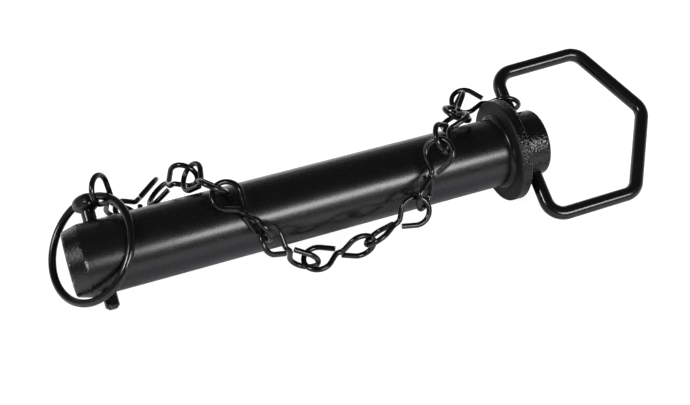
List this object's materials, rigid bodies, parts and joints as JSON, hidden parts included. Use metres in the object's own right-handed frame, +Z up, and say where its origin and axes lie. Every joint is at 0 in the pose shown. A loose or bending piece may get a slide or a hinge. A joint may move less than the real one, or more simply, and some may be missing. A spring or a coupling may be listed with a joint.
{
  "type": "handle bolt",
  "caption": "Hitch pin with a welded collar, a folding wire handle, and a spring-ring linch pin tied to the handle by a wire-link chain.",
  "frame": {"origin": "centre of the collar's bearing face, on the shank's axis", "axes": "+X along the shank from the tip to the head, +Z up as the bolt lies on a table, -Y towards the side that the chain drapes down"},
  "size_m": [0.2873, 0.0836, 0.0566],
  "materials": {
    "shank_paint": "satin black paint over turned steel",
    "collar_paint": "satin black paint",
    "weld_paint": "black paint over a weld bead",
    "handle_paint": "satin black coating on bent wire",
    "linch_paint": "black coating on forged steel",
    "ring_finish": "black coated spring wire",
    "chain_finish": "black coated link wire"
  },
  "bodies": {
    "pin": {"shank": "shank_paint", "collar": "collar_paint", "collar_weld": "weld_paint"},
    "handle": {"handle": "handle_paint"},
    "linch_pin": {"linch_pin": "linch_paint"},
    "linch_ring": {"linch_ring": "ring_finish"},
    "chain_link_01": {"chain_link_01": "chain_finish"},
    "chain_link_02": {"chain_link_02": "chain_finish"},
    "chain_link_03": {"chain_link_03": "chain_finish"},
    "chain_link_04": {"chain_link_04": "chain_finish"},
    "chain_link_05": {"chain_link_05": "chain_finish"},
    "chain_link_06": {"chain_link_06": "chain_finish"},
    "chain_link_07": {"chain_link_07": "chain_finish"},
    "chain_link_08": {"chain_link_08": "chain_finish"},
    "chain_link_09": {"chain_link_09": "chain_finish"},
    "chain_link_10": {"chain_link_10": "chain_finish"},
    "chain_link_11": {"chain_link_11": "chain_finish"},
    "chain_link_12": {"chain_link_12": "chain_finish"}
  },
  "joints": [
    {"name": "handle_swing", "type": "hinge", "parent": "pin", "child": "handle", "pos_m": [0.0133, 0, 0], "axis": [0, 0.8988, 0.4384], "range_deg": [-130, 140]},
    {"name": "ring_flip", "type": "hinge", "parent": "linch_pin", "child": "linch_ring", "pos_m": [-0.187, 0.02165, 0.0125], "axis": [-0.766, 0.3214, -0.5567], "range_deg": [0, 170]},
    {"name": "linch_slide", "type": "slide", "parent": "pin", "child": "linch_pin", "axis": [0, 0.866, 0.5], "range_m": [0, 0.04451]},
    {"name": "link_01_hang", "type": "hinge", "parent": "linch_pin", "child": "chain_link_01", "pos_m": [-0.18125, 0.01924, 0.01667], "axis": [0.766, -0.3214, 0.5567], "range_deg": [0, 60]},
    {"name": "link_02_hang", "type": "hinge", "parent": "chain_link_01", "child": "chain_link_02", "pos_m": [-0.17118, 0.02248, -0.00467], "axis": [0.8318, -0.5006, 0.2397], "range_deg": [0, 60]},
    {"name": "link_03_bend", "type": "hinge", "parent": "chain_link_04", "child": "chain_link_03", "pos_m": [-0.14225, 0.02474, 0.01206], "axis": [-0.5864, -0.4739, -0.6569], "range_deg": [0, 40]},
    {"name": "link_04_bend", "type": "hinge", "parent": "chain_link_05", "child": "chain_link_04", "pos_m": [-0.13275, -0.00343, 0.0239], "axis": [0.7536, -0.0219, -0.6569], "range_deg": [-1.5, 3]},
    {"name": "link_05_bend", "type": "hinge", "parent": "chain_link_06", "child": "chain_link_05", "pos_m": [-0.11867, -0.02494, 0.01138], "axis": [0.0523, -0.4115, 0.9099], "range_deg": [-14, 0]},
    {"name": "link_06_bend", "type": "hinge", "parent": "chain_link_07", "child": "chain_link_06", "pos_m": [-0.10519, -0.02739, -0.00796], "axis": [0.003, 1, 0], "range_deg": [0, 2.5]},
    {"name": "link_07_bend", "type": "hinge", "parent": "chain_link_08", "child": "chain_link_07", "pos_m": [-0.07672, -0.02783, -0.00622], "axis": [0.1129, 0.7932, -0.5984], "range_deg": [0, 1.5]},
    {"name": "link_08_bend", "type": "hinge", "parent": "chain_link_09", "child": "chain_link_08", "pos_m": [-0.05032, -0.02433, 0.00319], "axis": [0.6244, 0.4677, -0.6256], "range_deg": [0, 1]},
    {"name": "link_09_bend", "type": "hinge", "parent": "chain_link_10", "child": "chain_link_09", "pos_m": [-0.03568, -0.01056, 0.02809], "axis": [-0.6331, 0.7721, -0.0547], "range_deg": [0, 1.5]},
    {"name": "link_10_bend", "type": "hinge", "parent": "chain_link_11", "child": "chain_link_10", "pos_m": [-0.01962, 0.00607, 0.02155], "axis": [-0.7692, 0.5591, 0.3094], "range_deg": [0, 20]},
    {"name": "link_11_bend", "type": "hinge", "parent": "chain_link_12", "child": "chain_link_11", "pos_m": [-0.0103, 0.03093, 0.00905], "axis": [0.3898, 0.855, 0.342], "range_deg": [0, 1]},
    {"name": "link_12_swing", "type": "hinge", "parent": "pin", "child": "chain_link_12", "pos_m": [0.0133, 0.0232, 0.01131], "axis": [0, 0.8988, 0.4384], "range_deg": [0, 5]}
  ],
  "couplings": [
    {"joint": "linch_slide", "follows": "ring_flip", "m_per_rad": 0.015}
  ]
}
